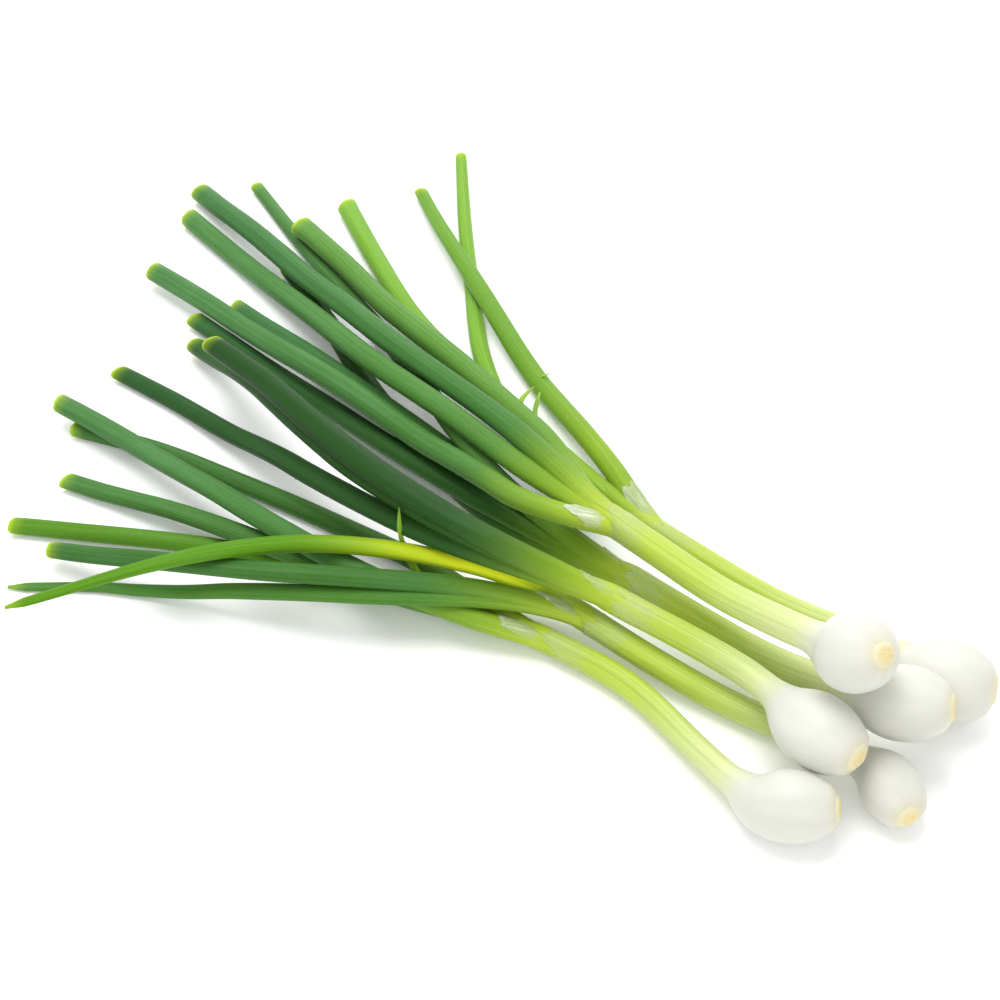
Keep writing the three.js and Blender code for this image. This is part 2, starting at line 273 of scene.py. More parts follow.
def onion_skin(name, soft, relief, shine):
    """White bulb, yellow-green neck and green leaf in one finish, by ripeness along the onion,
    with painted shade on leaves deep in the pile and painted light at the base of the bright
    leaves.
    """
    c = colours()
    s = Shader(name, Subsurface_Weight=soft, Subsurface_Scale=0.003, Specular_IOR_Level=shine)
    s.surface.inputs["Subsurface Radius"].default_value = (1.0, 0.9, 0.5)
    grain = s.attribute("grain", "Vector")
    hair = s.noise(s.stretch(grain, (34, 34, 10)), 1.0, 3)
    lines = s.noise(s.stretch(grain, (9, 9, 5)), 1.0, 3)
    patches = s.noise(s.stretch(grain, (1.1, 1.1, 30)), 1.0, 3)
    specks = s.noise(s.stretch(grain, (9, 9, 420)), 1.0, 4, 0.7)
    ripe = s.attribute("ripeness")
    reach = ripe + (lines - 0.5) * 0.12 * ripe + (hair - 0.5) * 0.08
    base = s.ramp(reach * 0.1, [
        (0.000, c.root_end), (0.022, c.bulb), (0.105, c.bulb), (0.185, c.neck_low),
        (0.300, c.neck), (0.400, c.collar), (0.500, c.fork), (0.650, c.leaf), (1.0, c.leaf_end),
    ])
    green = s.remap(reach, 4.0, 6.0)
    neck = s.remap(reach, 1.1, 2.6)
    parts = s.add("ShaderNodeSeparateXYZ", {}, {"Vector": s.attribute("kind", "Vector")})
    # Painted shade: the first kind share darkens leaves that lie deep in the pile
    shaded = s.mix(green * parts["X"], base, c.pile_shade)
    light = s.mix(green * parts["Y"], shaded, c.pale)
    vivid = s.mix(green * parts["Z"], light, c.bright)
    # Near the base of the bright leaves: their real yellow, made brighter as painted light where
    # the leaves above shade it
    early = s.remap(reach, 4.4, 5.2) * s.remap(reach, 7.6, 5.6)
    bright = s.remap(parts["Z"], 0.6, 0.9)
    yellow_and_painted_light = s.mix(early * (bright + parts["Y"] * 0.22), vivid, c.yellow)
    pale_veins = s.remap(hair, 0.52, 0.72) * (0.08 + neck * 0.22 - green * 0.28)
    veined = s.mix(pale_veins, yellow_and_painted_light, c.bulb_shade)
    green_veins = s.remap(hair, 0.50, 0.30) * (neck * 0.74 - green * 0.68)
    dimmed = s.mix(green_veins, veined, c.neck_line)
    # No waxy bloom where a leaf carries painted shade
    open_green = green * (1 - parts["X"])
    wax = s.mix(s.remap(patches, 0.42, 0.75) * open_green * 0.14, dimmed, c.bloom)
    dusty = s.mix(s.remap(specks, 0.58, 0.74) * open_green * 0.22, wax, c.bloom)
    streaks = (lines - 0.5) * 0.80 + (hair - 0.5) * 0.60 + (specks - 0.5) * 0.30
    ribbed = streaks * (neck * 0.45 + green * 0.55)
    # The early * bright term is painted light that brightens the shaded base of the bright leaves
    value = s.attribute("tone") + (patches - 0.5) * 0.22 + ribbed + early * bright * 0.45
    toned = s.add("ShaderNodeHueSaturation", {}, {"Value": value, "Color": dusty})
    rimmed = s.mix(s.attribute("cut") * (0.55 + lines * 0.7), toned["Color"], c.rim)
    shown = s.mix(s.attribute("inner"), rimmed, c.inside)
    rough = 0.36 + (patches - 0.5) * 0.22 + (hair - 0.5) * 0.14
    height = hair * 0.5 + lines * 0.5
    return s.finish(
        Base_Color=shown, Roughness=rough.clamp(), Normal=s.bump(height, relief, 0.0005),
    )


def leaf_skin():
    """The finish of all leaves, made once and shared by their bases on the stems."""
    return bpy.data.materials.get("leaf_skin") or onion_skin("leaf_skin", 0.0, 0.14, 0.09)


def plate_finish():
    """Tan cork with darker scars, which turns into the bulb's skin at its edge."""
    c = colours()
    s = Shader("root_plate_cork", Specular_IOR_Level=0.25)
    place = s.add("ShaderNodeTexCoord")["Object"]
    grain = s.noise(place, 700, 5, 0.7)
    scars = s.add("ShaderNodeTexVoronoi", {"feature": "F1"}, {"Vector": place, "Scale": 700})
    spots = s.remap(scars["Distance"], 0.45, 0.10)
    cork = s.mix(s.remap(grain, 0.42, 0.68) * 0.7, c.plate, c.plate_dark)
    scarred = s.mix(spots * 0.5, cork, c.plate_dark)
    border = s.remap(s.attribute("edge") + (grain - 0.5) * 0.4, 0.0, 0.70)
    skirt = s.mix(border, scarred, c.root_end)
    relief = grain * 0.6 + spots * 0.4
    return s.finish(
        Base_Color=skirt, Roughness=0.55 + grain * 0.3, Normal=s.bump(relief, 0.35, 0.0006),
    )


def sheath_finish():
    """Thin see-through skin with fine lines and cloudy places."""
    c = colours()
    s = Shader("papery_sheath", Specular_IOR_Level=0.5)
    grain = s.attribute("grain", "Vector")
    hair = s.noise(s.stretch(grain, (30, 30, 10)), 1.0, 3)
    cloud = s.noise(s.stretch(grain, (3, 3, 90)), 1.0, 3)
    veil = s.attribute("veil")
    shown = s.mix(s.remap(hair, 0.42, 0.65) * 0.35, c.sheath, c.neck)
    thick = s.remap(hair, 0.35, 0.70) * 0.45 + s.remap(cloud, 0.40, 0.70) * 0.55
    clear = veil * (0.30 + thick)
    return s.finish(
        Base_Color=shown, Alpha=clear.clamp(), Roughness=0.34 + hair * 0.2,
        Normal=s.bump(hair, 0.5, 0.0006),
    )


# Reading the frame's shapes


def cad_mesh(node):
    """Merged corner points and triangles of a CAD node, in metres."""
    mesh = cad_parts[node].data
    points = np.array([v.co for v in mesh.vertices])
    keys, index = np.unique(np.round(points, 6), axis=0, return_inverse=True)
    index = index.reshape(-1)
    faces = [[int(index[i]) for i in polygon.vertices] for polygon in mesh.polygons]
    return keys, [face for face in faces if len(set(face)) == 3]


def onions():
    """Each onion by name, measured once."""
    if not MEASURED:
        MEASURED.update({name: Onion(name) for name in ONIONS})
    return MEASURED


def centre_of(node):
    points, _ = cad_mesh(node)
    return Vector(points.mean(axis=0))


def section_axes(tangent):
    """The level and the upright direction across a route."""
    side = tangent.cross(UP).normalized()
    return side, side.cross(tangent).normalized()


def curve_shares(t):
    """Weights of a cubic curve's start, its slope, its end and that slope, at t from 0 to 1."""
    return (1 + 2 * t) * (1 - t) ** 2, t * (1 - t) ** 2, t * t * (3 - 2 * t), t * t * (t - 1)


class Route:
    """Rings along a piece: centres, half widths, half heights and distances."""

    def __init__(self, centres, widths, heights, start=0.0):
        self.centres = [Vector(c) for c in centres]
        self.widths = list(widths)
        self.heights = list(heights)
        self.distances = [start]
        for a, b in zip(self.centres, self.centres[1:]):
            self.distances.append(self.distances[-1] + (b - a).length)

    def tangent(self, i):
        last = len(self.centres) - 1
        return (self.centres[min(last, i + 1)] - self.centres[max(0, i - 1)]).normalized()

    def length(self):
        return self.distances[-1] - self.distances[0]

    def smoothed(self, step):
        """The same route on a smooth curve with rings a step apart."""
        distances = np.array(self.distances)
        count = max(4, int(round(self.length() / step)))
        wanted = np.linspace(distances[0], distances[-1], count + 1)
        rows = np.array([[*c, w, h] for c, w, h in zip(self.centres, self.widths, self.heights)])
        slopes = np.gradient(rows, distances, axis=0)
        out = []
        for s in wanted:
            i = int(np.clip(np.searchsorted(distances, s, "right") - 1, 0, len(distances) - 2))
            span = distances[i + 1] - distances[i]
            a, b, c, d = curve_shares((s - distances[i]) / span)
            ends = a * rows[i] + b * span * slopes[i]
            out.append(ends + c * rows[i + 1] + d * span * slopes[i + 1])
        out = np.array(out)
        return Route(out[:, :3], out[:, 3], out[:, 4], distances[0])

    def section(self, distance):
        """The middle, half width, half height and axes at a distance, between two rings."""
        place = float(np.interp(distance, self.distances, range(len(self.distances))))
        i = int(min(len(self.centres) - 2, place))
        share = place - i
        middle = self.centres[i].lerp(self.centres[i + 1], share)
        wide = self.widths[i] + (self.widths[i + 1] - self.widths[i]) * share
        high = self.heights[i] + (self.heights[i + 1] - self.heights[i]) * share
        return middle, wide, high, *section_axes(self.tangent(i))


# A CAD leaf's ring: its sides, the least edges at its end's middle and its widest corner
LEAF_RING = (10, 9, math.sin(math.radians(72)))
YOUNG_RING = (6, 6, math.sin(math.radians(60)))
HOLLOW_LEVELS = 3  # levels of a cut leaf that belong to its hollow


def leaf_route(node, root):
    """Rings of a leaf, found level by level from the middle of its base."""
    points, faces = cad_mesh(node)
    near = [set() for _ in points]
    for face in faces:
        for a, b in zip(face, face[1:] + face[:1]):
            near[a].add(b)
            near[b].add(a)
    young = "young" in node
    sides, hub_edges, corner_reach = YOUNG_RING if young else LEAF_RING
    hubs = [i for i, others in enumerate(near) if len(others) >= hub_edges]
    hubs.sort(key=lambda i: (Vector(points[i]) - root).length, reverse=young)
    seen = {hubs[0]}
    level = set(near[hubs[0]])
    levels = []
    while level:
        levels.append(sorted(level))
        seen |= level
        level = set().union(*(near[i] for i in level)) - seen
    if not any(name in node for name in POINTED_LEAVES):
        levels = levels[:-HOLLOW_LEVELS]
    levels = [level for level in levels if len(level) == sides]
    if young:
        levels.reverse()
    rings = [points[level] for level in levels]
    centres = [Vector(ring.mean(axis=0)) for ring in rings]
    route = Route(centres, [0] * len(rings), [0] * len(rings))
    for i, ring in enumerate(rings):
        side, up = section_axes(route.tangent(i))
        spokes = ring - np.array(centres[i])
        route.widths[i] = float(np.abs(spokes @ np.array(side)).max()) / corner_reach
        route.heights[i] = float(np.abs(spokes @ np.array(up)).max())
    return route


def cut_section(points, edges, here, direction, reach):
    """Corner points where a plane across the route cuts the mesh."""
    offsets = (points - np.array(here)) @ np.array(direction)
    a, b = offsets[edges[:, 0]], offsets[edges[:, 1]]
    crossing = (a * b) < 0
    share = (a[crossing] / (a[crossing] - b[crossing]))[:, None]
    first, second = points[edges[crossing, 0]], points[edges[crossing, 1]]
    found = first + (second - first) * share
    return found[np.linalg.norm(found - np.array(here), axis=1) < reach]


STEM_CORNER_REACH = math.sin(math.radians(540 / 7))  # widest corner of a fourteen-sided ring
FIRST_CUT = 2.75 * MM  # from the root end to the first cut across the bulb
CUT_STEP = 2.6  # millimetres from one cut to the next
CUT_REACH = 22 * MM  # corner points farther than this belong to another part of the stem
ROOT_END = 1.2 * MM  # where the bulb's skin starts, under the root plate
ROOT_END_SHARE = 0.52  # its half width there over that at the first cut
PLATE_MIDDLE = 0.75 * MM
PLATE_CORNERS = 15  # the stem's corner points that lie nearest the plate
CENTRE_PASSES = 4


def stem_route(onion):
    """Rings of the bulb and neck, found by cutting across the stem step by step."""
    points, faces = cad_mesh(f"{PREFIX}{onion}_stem")
    edges = np.array(sorted({tuple(sorted(e)) for f in faces for e in zip(f, f[1:] + f[:1])}))
    sheath, _ = cad_mesh(f"{PREFIX}{onion}_sheath")
    plate = centre_of(f"{PREFIX}{onion}_root_plate")
    far = sorted((Vector(p) for p in sheath), key=lambda p: (p - plate).length)
    limit = (far[-1] - plate).length - 1 * MM  # just short of the sheath's far end
    close = points[np.argsort(np.linalg.norm(points - np.array(plate), axis=1))[:PLATE_CORNERS]]
    direction = (Vector(close.mean(axis=0)) - plate).normalized()
    centres, radii = [], []
    here = plate + direction * (FIRST_CUT - PLATE_MIDDLE)
    while (here - plate).length < limit:
        ring = cut_section(points, edges, here, direction, CUT_REACH)
        side, up = section_axes(direction)
        spokes = ring - np.array(here)
        across, high = spokes @ np.array(side), spokes @ np.array(up)
        radius = (across.max() - across.min()) / 2 / STEM_CORNER_REACH
        centre = here + side * (across.max() + across.min()) / 2 + up * (high.max() - radius)
        centres.append(centre)
        radii.append(radius)
        if len(centres) > 2:
            direction = (centres[-1] - centres[-3]).normalized()
        here = centre + direction * CUT_STEP * MM
    for _ in range(CENTRE_PASSES):
        within = zip(centres, centres[1:], centres[2:])
        centres[1:-1] = [(a + b * 2 + c) / 4 for a, b, c in within]
    radii[1:-1] = [(a + b * 2 + c) / 4 for a, b, c in zip(radii, radii[1:], radii[2:])]
    outward = (centres[0] - centres[1]).normalized()
    centres.insert(0, centres[0] + outward * (FIRST_CUT - ROOT_END))
    radii.insert(0, radii[0] * ROOT_END_SHARE)
    return Route(centres, radii, radii, ROOT_END)


# Meshes


def new_mesh(name, verts, faces, attributes):
    """A smooth mesh with a number or a vector at each point for every attribute."""
    mesh = bpy.data.meshes.new(name)
    mesh.from_pydata([tuple(v) for v in verts], [], faces)
    for key, values in attributes.items():
        vector = len(values) and hasattr(values[0], "__len__")
        layer = mesh.attributes.new(key, "FLOAT_VECTOR" if vector else "FLOAT", "POINT")
        flat = np.array(values, np.float32).reshape(-1)
        layer.data.foreach_set("vector" if vector else "value", flat)
    mesh.polygons.foreach_set("use_smooth", [True] * len(mesh.polygons))
    mesh.update()
    return mesh


def add_piece(name, mesh, material, slot, *nodes):
    """Puts a piece in the scene in place of the CAD nodes that it covers."""
    piece = bpy.data.objects.new(name, mesh)
    bpy.context.scene.collection.objects.link(piece)
    mesh.materials.append(material)
    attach(piece, "root")
    if nodes:
        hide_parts(*nodes)
    return piece


def lofted(rings, close_start=True, close_end=True):
    """Points and faces of a tube through rings of equal count, closed by fans."""
    sides = len(rings[0])
    verts = [p for ring in rings for p in ring]
    faces = []
    for i in range(len(rings) - 1):
        for k in range(sides):
            a, b = i * sides + k, i * sides + (k + 1) % sides
            faces.append((a, b, b + sides, a + sides))
    if close_start:
        verts.append(sum(rings[0], Vector()) / sides)
        faces += [((k + 1) % sides, k, len(verts) - 1) for k in range(sides)]
    if close_end:
        verts.append(sum(rings[-1], Vector()) / sides)
        base = (len(rings) - 1) * sides
        faces += [(base + k, base + (k + 1) % sides, len(verts) - 1) for k in range(sides)]
    return verts, faces


def ring_at(route, i, sides, shape=None):
    """Points round the route's middle, at its own half width and half height."""
    side, up = section_axes(route.tangent(i))
    ring = []
    for k in range(sides):
        angle = 2 * math.pi * k / sides
        grow = shape(angle, route.distances[i]) if shape else 1.0
        wide = route.widths[i] * grow
        high = route.heights[i] * grow
        ring.append(route.centres[i] + side * math.cos(angle) * wide + up * math.sin(angle) * high)
    return ring


def curve_between(start, heading, end, leaving, steps):
    """Points of a smooth curve with a given direction at each end."""
    points = []
    for i in range(steps + 1):
        a, b, c, d = curve_shares(i / steps)
        points.append(start * a + heading * b + end * c + leaving * d)
    return points


STEM_STEP = 1.2 * MM
INSIDE_RINGS = 12  # a leaf starts this many rings down inside the neck
BASE_STEP = 9 * MM
BASE_SHARE = 0.74  # a leaf's start over the neck's half width
BASE_FLATNESS = 0.94
SWELL_LENGTH = 38 * MM  # a leaf has its own section this far from its start
# Ripeness at the root, its edge, the bulb's end, low in the neck, in its middle, at the collar
# and at three places past it
RIPENESS = (0, 0.3, 1.0, 1.85, 3, 4, 5.1, 6.4, 10)


class Onion:
    """The routes of one onion's stem and of its leaves from inside the neck to their ends."""

    def __init__(self, name):
        self.name = name
        self.root = centre_of(f"{PREFIX}{name}_root_plate")
        self.stem = stem_route(name).smoothed(STEM_STEP)
        self.collar = self.stem.distances[-1]
        self.widest = self.stem.distances[int(np.argmax(self.stem.widths))]
        self.leaves = {}
        self.seams = {}
        for node in sorted(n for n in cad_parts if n.startswith(f"{PREFIX}{name}_")):
            if "leaf" in node:
                self.add_leaf(node)

    def add_leaf(self, node):
        leaf = leaf_route(node, self.root)
        base = self.leaf_base(leaf)
        centres = base.centres[:-1] + leaf.centres
        widths = base.widths[:-1] + leaf.widths
        heights = base.heights[:-1] + leaf.heights
        whole = Route(centres, widths, heights, base.distances[0]).smoothed(sizes().ring_step)
        apart = [abs(distance - base.distances[-1]) for distance in whole.distances]
        self.leaves[node] = whole
        self.seams[node] = apart.index(min(apart))

    def leaf_base(self, leaf):
        """From inside the neck to the first ring of a leaf."""
        inside = len(self.stem.centres) - INSIDE_RINGS
        start, heading = self.stem.centres[inside], self.stem.tangent(inside)
        end, leaving = leaf.centres[0], leaf.tangent(0)
        gap = (end - start).length
        count = max(5, int(gap / BASE_STEP))
        centres = curve_between(start, heading * gap, end, leaving * gap, count)
        thin = min(self.stem.widths[-1] * BASE_SHARE, leaf.widths[0])
        low = thin * BASE_FLATNESS
        widths, heights = [], []
        for i in range(count + 1):
            share = min(1.0, (gap * i / count) / SWELL_LENGTH)
            share = share * share * (3 - 2 * share)
            widths.append(thin + (leaf.widths[0] - thin) * share)
            heights.append(low + (leaf.heights[0] - low) * share)
        return Route(centres, widths, heights, self.stem.distances[inside])

    def ripeness(self, distance):
        """How far the colour has gone from the white root end to a green leaf end."""
        collar, low = self.collar, self.widest * 2.5
        places = (
            0, 6 * MM, self.widest * 1.7, low, low + (collar - low) * 0.5, collar,
            collar + 26 * MM, collar + 52 * MM, collar + 220 * MM,
        )
        return float(np.interp(distance, places, RIPENESS))


def leaf_kind(node):
    """Shares of painted pile shade, pale and bright in a leaf's green."""
    return LEAF_KINDS[node[len(PREFIX):]]


def leaf_tone(node):
    """Brightness of a leaf, near 1, steady for its name."""
    return 0.92 + random.Random(node).uniform(-0.10, 0.08)


class Skin:
    """Gathers the points, faces and colour attributes of a piece's skin."""

    def __init__(self, onion):
        self.onion = onion
        self.verts, self.faces = [], []
        self.attributes = {k: [] for k in ("ripeness", "grain", "kind", "tone", "cut", "inner")}

    def loft(self, rings, rows, kinds, tones, seed, close_start, close_end):
        """Adds a tube; rows holds each ring's distance, cut and inner shares."""
        first = len(self.verts)
        sides = len(rings[0])
        verts, faces = lofted(rings, close_start, close_end)
        self.verts += verts
        self.faces += [tuple(first + i for i in face) for face in faces]
        spots = [(r, k) for r in range(len(rings)) for k in range(sides)]
        spots += [(0, 0)] * close_start + [(len(rings) - 1, 0)] * close_end
        for r, k in spots:
            angle = 2 * math.pi * k / sides
            distance = rows[r][0]
            grain = (math.cos(angle) + seed * 0.37, math.sin(angle), distance)
            values = (self.onion.ripeness(distance), grain, kinds[r], tones[r], *rows[r][1:])
            for key, value in zip(self.attributes, values):
                self.attributes[key].append(value)

    def mesh(self, name):
        return new_mesh(name, self.verts, self.faces, self.attributes)


def seed_of(name):
    """A number for the noise that is always the same for a name."""
    return sum(ord(ch) * (i + 1) for i, ch in enumerate(name)) % 97


def leaf_shape(seed):
    """How a leaf's ring departs from an ellipse: soft dents and fine ridges."""

    def shape(angle, distance):
        spot = Vector((math.cos(angle) * 0.9 + seed, math.sin(angle) * 0.9, distance * 22))
        ridges = 0.003 * math.cos(angle * 9 + seed) + 0.003 * math.cos(angle * 13 + seed * 2)
        return 1.0 + 0.05 * noise.noise(spot) + ridges

    return shape


def on_table(ring):
    """Lifts the points that would be under the table top."""
    for p in ring:
        p.z = max(p.z, 0.03 * MM)
    return ring


def leaf_rings(leaf, node, start, end):
    """The leaf's rings from one number to before another, none under the table."""
    shape = leaf_shape(seed_of(node))
    return [on_table(ring_at(leaf, i, sizes().leaf_sides, shape)) for i in range(start, end)]


NECK_CLOSE = 16 * MM  # the neck ends in a blunt point this far past the collar
CLOSING_RINGS = 8
STEM_SIDES = 56
STEM_TONE = 0.92
PLAIN = (0.0, 0.0, 0.0)


def stem_shape(seed, widest):
    """How a stem's ring departs from a circle: soft dents and, past the bulb, fine ribs."""

    def shape(angle, distance):
        wide = min(1.0, max(0.0, (distance - widest * 1.6) / (20 * MM)))
        spot = Vector((math.cos(angle) * 0.8 + seed, math.sin(angle) * 0.8, distance * 45))
        ribs = 0.010 * math.cos(angle * 11 + seed) + 0.008 * math.cos(angle * 17 + seed * 3)
        return 1.0 + 0.014 * noise.noise(spot) + ribs * wide

    return shape


def add_bulb(skin, onion):
    """The bulb and neck, closed inside the leaves by a blunt point."""
    stem = onion.stem
    seed = seed_of(onion.name)
    shape = stem_shape(seed, onion.widest)
    count = len(stem.centres)
    rings = [on_table(ring_at(stem, i, STEM_SIDES, shape)) for i in range(count)]
    rows = [(d, 0.0, 0.0) for d in stem.distances]
    ahead, middle = stem.tangent(count - 1), stem.centres[-1]
    for step in range(1, CLOSING_RINGS + 1):
        share = step / CLOSING_RINGS
        shrink = math.sqrt(max(0.0, 1 - share ** 2)) * (1 - share * 0.25)
        reach = ahead * NECK_CLOSE * share
        rings.append([middle + (p - middle) * max(0.05, shrink) + reach for p in rings[count - 1]])
        rows.append((stem.distances[-1] + NECK_CLOSE * share, 0.0, 0.0))
    kinds, tones = [PLAIN] * len(rings), [STEM_TONE] * len(rings)
    skin.loft(rings, rows, kinds, tones, seed, True, True)


def add_leaf_base(skin, onion, node):
    """A leaf from inside the neck to its seam, where its own colour, with any painted shade or
    painted light, is reached.
    """
    leaf, last = onion.leaves[node], onion.seams[node]
    rows, kinds, tones = [], [], []
    reach = leaf.distances[last] - onion.collar
    for distance in leaf.distances[:last + 1]:
        share = min(1.0, max(0.0, (distance - onion.collar) / reach))
        rows.append((distance, 0.0, 0.0))
        kinds.append(tuple(v * share for v in leaf_kind(node)))
        tones.append(STEM_TONE + (leaf_tone(node) - STEM_TONE) * share)
    rings = leaf_rings(leaf, node, 0, last + 1)
    skin.loft(rings, rows, kinds, tones, seed_of(node), True, False)


def stem_mesh(onion):
    """Bulb and neck in one skin with the leaf bases, and which faces are a leaf's."""
    skin = Skin(onion)
    add_bulb(skin, onion)
    stem_faces = len(skin.faces)
    for node in onion.leaves:
        add_leaf_base(skin, onion, node)
    is_leaf = [int(i >= stem_faces) for i in range(len(skin.faces))]
    return skin.mesh(f"stem_{onion.name}"), is_leaf


class BuildStems(bpy.types.Operator):
    """Build each bulb with its neck and leaf bases"""

    bl_idname = "onions.build_stems"
    bl_label = "Build stems"

    def execute(self, context):
        skin = onion_skin("bulb_and_neck_skin", 0.10, 0.20, 0.25)
        for name, onion in onions().items():
            mesh, is_leaf = stem_mesh(onion)
            add_piece(f"stem_{name}", mesh, skin, "stem", f"{PREFIX}{name}_stem")
            mesh.materials.append(leaf_skin())
            mesh.polygons.foreach_set("material_index", is_leaf)
        return {"FINISHED"}


TIP_LENGTH = 7 * MM  # a pointed leaf rounds off over this length
TIP_END = 0.35  # share of the width that is left at the very tip
TIP_FULLNESS = 0.6  # up to the tip the leaf keeps this share of its greatest width
TIP_RIM = 0.5  # how far the tip takes the colour of a cut rim
CUT_RINGS = 4  # rings before the cut that lean and narrow towards it
NICK = 0.25 * MM


def round_off(leaf, first, rings, rows):
    """Ends a pointed leaf in a blunt tip that turns pale."""
    for i, ring in enumerate(rings):
        middle = leaf.centres[first + i]
        left = leaf.distances[-1] - leaf.distances[first + i]
        shrink = min(1.0, max(TIP_END, (left / TIP_LENGTH) ** 0.5))
        side = section_axes(leaf.tangent(first + i))[0]
        fuller = max(0.0, TIP_FULLNESS * max(leaf.widths) / leaf.widths[first + i] - 1)
        rings[i] = [
            middle + (p - middle + side * (p - middle).dot(side) * fuller) * shrink for p in ring
        ]
        rows[i] = (rows[i][0], TIP_RIM * max(0.0, 1 - left / TIP_LENGTH), 0.0)


def lean_to_cut(leaf, centres, rings, rng):
    """Leans, pinches and nicks the last rings of a cut leaf."""
    heading = leaf.tangent(len(leaf.centres) - 1)
    side, up = section_axes(heading)
    tilt, lean = rng.uniform(-0.35, 0.35), rng.uniform(0.1, 0.5)
    pinch = rng.uniform(0.72, 0.95)
    reach = abs(tilt) * leaf.widths[-1] + lean * leaf.heights[-1]
    end = len(rings) - 1
    for i in range(end - CUT_RINGS, end + 1):
        share = (i - end + CUT_RINGS) / CUT_RINGS
        squash = 1 - (1 - pinch) * share
        moved = []
        for p in rings[i]:
            spoke = p - centres[i]
            across, high = spoke.dot(side), spoke.dot(up)
            slant = tilt * across + lean * high - reach
            nick = NICK * noise.noise(p * 900)
            moved.append(
                centres[i] + side * across * (1 + (1 - squash) * 0.35) + up * high * squash
                + heading * (slant + nick) * share
            )
        rings[i] = on_table(moved)


def cut_open(leaf, first, rings, rows, rng):
    """Ends a leaf in a cut with a bevelled rim and an inner wall, closed deep inside."""
    s = sizes()
    centres = leaf.centres[first:]
    lean_to_cut(leaf, centres, rings, rng)
    heading = leaf.tangent(len(leaf.centres) - 1)
    end = len(rings) - 1
    outer, before = rings[end], rings[end - 1]
    middle = sum(outer, Vector()) / len(outer)

    def inward(ring, centre, amount, push):
        return [p + (centre - p).normalized() * amount + heading * push for p in ring]

    rings[end:] = [
        [p.lerp(q, 0.80) for p, q in zip(outer, before)],
        [p.lerp(q, 0.35) for p, q in zip(outer, before)],
        inward(outer, middle, 0.03 * MM, -0.12 * MM),
        inward(outer, middle, 0.25 * s.wall, 0.0),
        inward(outer, middle, 0.75 * s.wall, 0.0),
        inward(outer, middle, s.wall, -0.25 * MM),
    ]
    distance = rows[-1][0]
    rows[end - 2:] = [
        (rows[end - 2][0], 0.10, 0.0), (rows[end - 1][0], 0.30, 0.0),
        (distance, 0.40, 0.0), (distance, 0.80, 0.0), (distance, 1.0, 0.0),
        (distance, 1.0, 0.0), (distance, 1.0, 0.1), (distance, 0.7, 0.5),
    ]
    for j in range(1, int(s.hollow / s.ring_step) + 1):
        rings.append(inward(rings[end - j], centres[end - j], s.wall, 0))
        rows.append((distance, 0.0, 1.0))


def leaf_mesh(onion, node):
    """A tube that goes on from the leaf's base, cut open or pointed."""
    leaf, first = onion.leaves[node], onion.seams[node]
    rings = leaf_rings(leaf, node, first, len(leaf.centres))
    rows = [(d, 0.0, 0.0) for d in leaf.distances[first:]]
    if any(tag in node for tag in POINTED_LEAVES):
        round_off(leaf, first, rings, rows)
    else:
        cut_open(leaf, first, rings, rows, random.Random(node))
    skin = Skin(onion)
    kinds, tones = [leaf_kind(node)] * len(rings), [leaf_tone(node)] * len(rings)
    skin.loft(rings, rows, kinds, tones, seed_of(node), False, True)
    return skin.mesh(node[len(PREFIX):])


class BuildLeaves(bpy.types.Operator):
    """Build each leaf as a hollow tube, cut square or pointed"""

    bl_idname = "onions.build_leaves"
    bl_label = "Build leaves"

    def execute(self, context):
        skin = leaf_skin()
        for onion in onions().values():
            for node in onion.leaves:
                kind = leaf_kind(node)
                slot = "pale_leaf" if kind[1] + kind[2] > PALE_SHARE else "leaf"
                short = node[len(PREFIX):]
                add_piece(f"blade_{short}", leaf_mesh(onion, node), skin, slot, node)
        return {"FINISHED"}


# Young shoots: the onion, half width and points in millimetres from the base to the tip
SHOOTS = {
    "e_shoot": ("e", 2.1, ((10.2, -58.9, 10.9), (6.2, -57.9, 14.0), (2.6, -56.8, 18.4),
                           (1.6, -57.3, 26.4), (-0.8, -54.3, 33.7))),
    "b_shoot_1": ("b", 1.6, ((-5.9, 22.4, 11.8), (-7.1, 25.3, 14.9), (-8.2, 29.5, 16.1),
                             (-8.0, 32.4, 17.0), (-7.1, 36.2, 18.1))),
    "b_shoot_2": ("b", 0.8, ((-16.3, 51.9, 5.2), (-14.2, 52.1, 7.7), (-11.7, 54.4, 8.8))),
}


SHOOT_SIDES = 14
SHOOT_STEP = 1 * MM
SHOOT_FLATNESS = 0.55
SHOOT_KIND = (0.0, 0.85, 0.15)
SHOOT_START = 45 * MM  # a shoot is coloured as a leaf this far past the collar


def shoot_mesh(name):
    """A slim closed blade that tapers to its tip."""
    owner, half, points = SHOOTS[name]
    onion = onions()[owner]
    wide = [half * MM] * len(points)
    thick = [w * SHOOT_FLATNESS for w in wide]
    route = Route([Vector(p) * MM for p in points], wide, thick).smoothed(SHOOT_STEP)
    rings, rows = [], []
    for i, middle in enumerate(route.centres):
        share = route.distances[i] / route.distances[-1]
        taper = max(0.06, (1 - share) ** 0.6 * (0.55 + 0.45 * min(1.0, share * 3)))
        rings.append([middle + (p - middle) * taper for p in ring_at(route, i, SHOOT_SIDES)])
        rows.append((onion.collar + SHOOT_START + route.distances[i], 0.0, 0.0))
    skin = Skin(onion)
    kinds, tones = [SHOOT_KIND] * len(rings), [1.0] * len(rings)
    skin.loft(rings, rows, kinds, tones, seed_of(name), True, True)
    return skin.mesh(name)


class BuildShoots(bpy.types.Operator):
    """Build the slender young shoots that stand out between the leaves"""

    bl_idname = "onions.build_shoots"
    bl_label = "Build shoots"

    def execute(self, context):
        for name in SHOOTS:
            add_piece(name, shoot_mesh(name), leaf_skin(), "pale_leaf")
        return {"FINISHED"}


PLATE_ROWS = 16
PLATE_SIDES = 56
PLATE_SPREAD = 1.42  # the plate's half width over that of the bulb's first ring
PLATE_REACH = 8  # rings of the bulb that the plate may lie on
PLATE_DOME = 0.50 * MM
PLATE_TUCK = 0.08 * MM  # how far its border goes into the bulb
PLATE_BUMPS = 0.14 * MM


